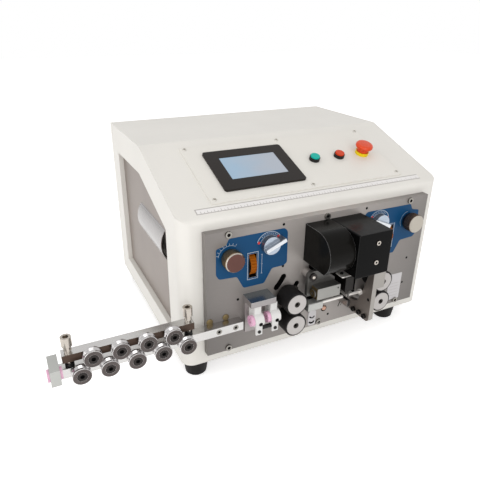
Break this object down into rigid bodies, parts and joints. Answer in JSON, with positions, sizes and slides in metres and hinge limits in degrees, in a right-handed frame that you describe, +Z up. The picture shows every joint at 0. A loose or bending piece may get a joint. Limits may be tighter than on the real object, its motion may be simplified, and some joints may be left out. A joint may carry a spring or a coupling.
{
  "type": "wire cutting and stripping machine",
  "caption": "Bench-top wire cutting and stripping machine with a roller straightener at its inlet, powered feed rollers, a blade cutter and a sloping touch-screen panel",
  "frame": {"origin": "Under the middle of the machine's bounding box, at floor level", "axes": "x runs along the wire from the inlet to the outlet, y from the front to the back, z up"},
  "size_m": [0.641, 0.4564, 0.323],
  "materials": {
    "case_white": "fine satin powder coat",
    "panel_grey": "satin grey sheet",
    "plate_grey": "bead-blasted grey anodised",
    "bright_aluminium": "machined bright",
    "brown_bar": "dark brown anodised with a bright top",
    "steel": "ground steel",
    "nickel": "nickel plated",
    "roller_steel": "turned bearing steel",
    "hub_grey": "pale satin hub face",
    "black_rubber": "matt black rubber",
    "bronze": "bronze anodised face, knurled brass rim",
    "orange": "orange moulding",
    "ceramic": "pink glazed ceramic",
    "white_plastic": "white moulding",
    "black_cover": "semi-gloss black",
    "bezel": "charcoal fine texture",
    "screen": "lit display behind a clear pane",
    "black_plastic": "black moulding",
    "green_cap": "teal green cap",
    "red_cap": "red cap",
    "plunger_grey": "grey stem",
    "board_green": "green circuit board"
  },
  "bodies": {
    "machine": {"case_shell": "case_white", "base_plate": "panel_grey", "side_panels": "panel_grey", "side_handles": "steel", "rubber_feet": "black_rubber", "front_plate": "plate_grey", "control_panel": "case_white", "fixing_screws": "nickel", "hmi_housing": "bezel", "hmi_screen": "screen", "button_collars": "black_plastic", "straightener_bar": "bright_aluminium", "inlet_block": "plate_grey", "ceramic_eyelets": "ceramic", "guide_block": "bright_aluminium", "guide_holders": "white_plastic", "cutter_frame": "steel", "cutter_hood": "black_cover", "cutter_cover": "black_cover", "stepper_motors": "black_cover", "control_board": "board_green", "power_supply": "steel", "mains_inlet": "black_plastic"},
    "start_button": {"start_button": "green_cap"},
    "stop_button": {"stop_button": "red_cap"},
    "estop_plunger": {"estop_plunger": "plunger_grey"},
    "estop_head": {"estop_head": "red_cap"},
    "gap_knob_left": {"gap_knob_left": "bronze"},
    "release_knob_left": {"release_knob_left": "bright_aluminium"},
    "pressure_wheel_left": {"pressure_wheel_left": "orange"},
    "swing_arm_left": {"swing_arm_left": "steel"},
    "gap_knob_right": {"gap_knob_right": "bronze"},
    "release_knob_right": {"release_knob_right": "bright_aluminium"},
    "pressure_wheel_right": {"pressure_wheel_right": "orange"},
    "swing_arm_right": {"swing_arm_right": "steel"},
    "feed_roller_lower": {"feed_shaft_lower": "hub_grey", "feed_tyre_lower": "black_rubber"},
    "feed_roller_upper": {"feed_shaft_upper": "hub_grey", "feed_tyre_upper": "black_rubber"},
    "output_roller_lower": {"output_shaft_lower": "hub_grey", "output_tyre_lower": "black_rubber"},
    "output_roller_upper": {"output_shaft_upper": "hub_grey", "output_tyre_upper": "black_rubber"},
    "straightener_slide": {"straightener_slide": "brown_bar"},
    "adjust_screw_left": {"adjust_screw_left": "nickel"},
    "adjust_screw_right": {"adjust_screw_right": "nickel"},
    "lower_roller_1": {"lower_roller_1": "roller_steel"},
    "lower_roller_2": {"lower_roller_2": "roller_steel"},
    "lower_roller_3": {"lower_roller_3": "roller_steel"},
    "lower_roller_4": {"lower_roller_4": "roller_steel"},
    "lower_roller_5": {"lower_roller_5": "roller_steel"},
    "upper_roller_1": {"upper_roller_1": "roller_steel"},
    "upper_roller_2": {"upper_roller_2": "roller_steel"},
    "upper_roller_3": {"upper_roller_3": "roller_steel"},
    "upper_roller_4": {"upper_roller_4": "roller_steel"},
    "upper_blade_holder": {"upper_blade_holder": "steel"},
    "lower_blade_holder": {"lower_blade_holder": "steel"},
    "lead_screw": {"lead_screw": "steel"},
    "conduit_arm": {"conduit_arm": "steel"},
    "power_rocker": {"power_rocker": "black_plastic"}
  },
  "joints": [
    {"name": "start_press", "type": "slide", "parent": "machine", "child": "start_button", "axis": [0, 0.3417, -0.9398], "range_m": [0, 0.003], "stiffness_N_per_m": 400},
    {"name": "stop_press", "type": "slide", "parent": "machine", "child": "stop_button", "axis": [0, 0.3417, -0.9398], "range_m": [0, 0.003], "stiffness_N_per_m": 400},
    {"name": "estop_press", "type": "slide", "parent": "machine", "child": "estop_plunger", "axis": [0, 0.3417, -0.9398], "range_m": [0, 0.004]},
    {"name": "estop_twist", "type": "hinge", "parent": "estop_plunger", "child": "estop_head", "pos_m": [0.226, -0.05957, 0.30274], "axis": [0, 0.3417, -0.9398], "range_deg": [0, 45], "stiffness_Nm_per_rad": 0.05},
    {"name": "gap_turn_left", "type": "hinge", "parent": "machine", "child": "gap_knob_left", "pos_m": [-0.067, -0.16475, 0.204], "axis": [0, 1, 0], "range_deg": [-360, 360]},
    {"name": "release_turn_left", "type": "hinge", "parent": "machine", "child": "release_knob_left", "pos_m": [-0.005, -0.16475, 0.2125], "axis": [0, -1, 0], "range_deg": [0, 110]},
    {"name": "wheel_turn_left", "type": "hinge", "parent": "machine", "child": "pressure_wheel_left", "pos_m": [-0.031, -0.14375, 0.183], "axis": [1, 0, 0], "range_deg": [-300, 300]},
    {"name": "arm_swing_left", "type": "hinge", "parent": "machine", "child": "swing_arm_left", "pos_m": [-0.067, -0.11575, 0.204], "axis": [0, -1, 0], "range_deg": [0, 2.96]},
    {"name": "gap_turn_right", "type": "hinge", "parent": "machine", "child": "gap_knob_right", "pos_m": [0.253, -0.16475, 0.204], "axis": [0, 1, 0], "range_deg": [-360, 360]},
    {"name": "release_turn_right", "type": "hinge", "parent": "machine", "child": "release_knob_right", "pos_m": [0.191, -0.16475, 0.2125], "axis": [0, 1, 0], "range_deg": [0, 110]},
    {"name": "wheel_turn_right", "type": "hinge", "parent": "machine", "child": "pressure_wheel_right", "pos_m": [0.217, -0.14375, 0.183], "axis": [1, 0, 0], "range_deg": [-300, 300]},
    {"name": "arm_swing_right", "type": "hinge", "parent": "machine", "child": "swing_arm_right", "pos_m": [0.253, -0.11575, 0.204], "axis": [0, 1, 0], "range_deg": [0, 2.96]},
    {"name": "feed_spin", "type": "hinge", "parent": "machine", "child": "feed_roller_lower", "pos_m": [0.023, -0.18025, 0.0896], "axis": [0, 1, 0], "continuous": true},
    {"name": "feed_upper_spin", "type": "hinge", "parent": "swing_arm_left", "child": "feed_roller_upper", "pos_m": [0.023, -0.18025, 0.1256], "axis": [0, 1, 0], "continuous": true},
    {"name": "output_spin", "type": "hinge", "parent": "machine", "child": "output_roller_lower", "pos_m": [0.182, -0.18025, 0.0896], "axis": [0, 1, 0], "continuous": true},
    {"name": "output_upper_spin", "type": "hinge", "parent": "swing_arm_right", "child": "output_roller_upper", "pos_m": [0.182, -0.18025, 0.1256], "axis": [0, 1, 0], "continuous": true},
    {"name": "slide_lift", "type": "slide", "parent": "machine", "child": "straightener_slide", "axis": [0, 0, 1], "range_m": [-0.003, 0.0025]},
    {"name": "adjust_turn_left", "type": "hinge", "parent": "machine", "child": "adjust_screw_left", "pos_m": [-0.292, -0.16425, 0.0968], "axis": [0, 0, -1], "range_deg": [-865, 721]},
    {"name": "adjust_turn_right", "type": "hinge", "parent": "machine", "child": "adjust_screw_right", "pos_m": [-0.1335, -0.16425, 0.0968], "axis": [0, 0, -1], "range_deg": [-865, 721]},
    {"name": "lower_spin_1", "type": "hinge", "parent": "machine", "child": "lower_roller_1", "pos_m": [-0.281, -0.18025, 0.0968], "axis": [0, 1, 0], "continuous": true},
    {"name": "lower_spin_2", "type": "hinge", "parent": "machine", "child": "lower_roller_2", "pos_m": [-0.246, -0.18025, 0.0968], "axis": [0, 1, 0], "continuous": true},
    {"name": "lower_spin_3", "type": "hinge", "parent": "machine", "child": "lower_roller_3", "pos_m": [-0.211, -0.18025, 0.0968], "axis": [0, 1, 0], "continuous": true},
    {"name": "lower_spin_4", "type": "hinge", "parent": "machine", "child": "lower_roller_4", "pos_m": [-0.176, -0.18025, 0.0968], "axis": [0, 1, 0], "continuous": true},
    {"name": "lower_spin_5", "type": "hinge", "parent": "machine", "child": "lower_roller_5", "pos_m": [-0.141, -0.18025, 0.0968], "axis": [0, 1, 0], "continuous": true},
    {"name": "upper_spin_1", "type": "hinge", "parent": "straightener_slide", "child": "upper_roller_1", "pos_m": [-0.265, -0.18025, 0.1184], "axis": [0, 1, 0], "continuous": true},
    {"name": "upper_spin_2", "type": "hinge", "parent": "straightener_slide", "child": "upper_roller_2", "pos_m": [-0.23, -0.18025, 0.1184], "axis": [0, 1, 0], "continuous": true},
    {"name": "upper_spin_3", "type": "hinge", "parent": "straightener_slide", "child": "upper_roller_3", "pos_m": [-0.195, -0.18025, 0.1184], "axis": [0, 1, 0], "continuous": true},
    {"name": "upper_spin_4", "type": "hinge", "parent": "straightener_slide", "child": "upper_roller_4", "pos_m": [-0.16, -0.18025, 0.1184], "axis": [0, 1, 0], "continuous": true},
    {"name": "upper_blade_slide", "type": "slide", "parent": "machine", "child": "upper_blade_holder", "axis": [0, 0, -1], "range_m": [0, 0.006]},
    {"name": "lower_blade_slide", "type": "slide", "parent": "machine", "child": "lower_blade_holder", "axis": [0, 0, 1], "range_m": [0, 0.00601]},
    {"name": "lead_turn", "type": "hinge", "parent": "machine", "child": "lead_screw", "pos_m": [0.119, -0.11075, 0.118], "axis": [0, 0, 1], "range_deg": [0, 541]},
    {"name": "conduit_swing", "type": "hinge", "parent": "machine", "child": "conduit_arm", "pos_m": [0.0595, -0.17375, 0.154], "axis": [0, -1, 0], "range_deg": [-8, 8]},
    {"name": "rocker_tip", "type": "hinge", "parent": "machine", "child": "power_rocker", "pos_m": [-0.044, 0.21725, 0.098], "axis": [-1, 0, 0], "range_deg": [0, 20]}
  ],
  "couplings": [
    {"joint": "arm_swing_left", "follows": "release_turn_left", "ratio": 0.026851},
    {"joint": "arm_swing_right", "follows": "release_turn_right", "ratio": 0.026851},
    {"joint": "feed_upper_spin", "follows": "feed_spin", "ratio": -1},
    {"joint": "output_upper_spin", "follows": "output_spin", "ratio": -1},
    {"joint": "adjust_turn_left", "follows": "slide_lift", "rad_per_m": 5026.5},
    {"joint": "adjust_turn_right", "follows": "slide_lift", "rad_per_m": 5026.5},
    {"joint": "lower_blade_slide", "follows": "upper_blade_slide", "ratio": 1},
    {"joint": "lead_turn", "follows": "upper_blade_slide", "rad_per_m": 1570.8}
  ]
}
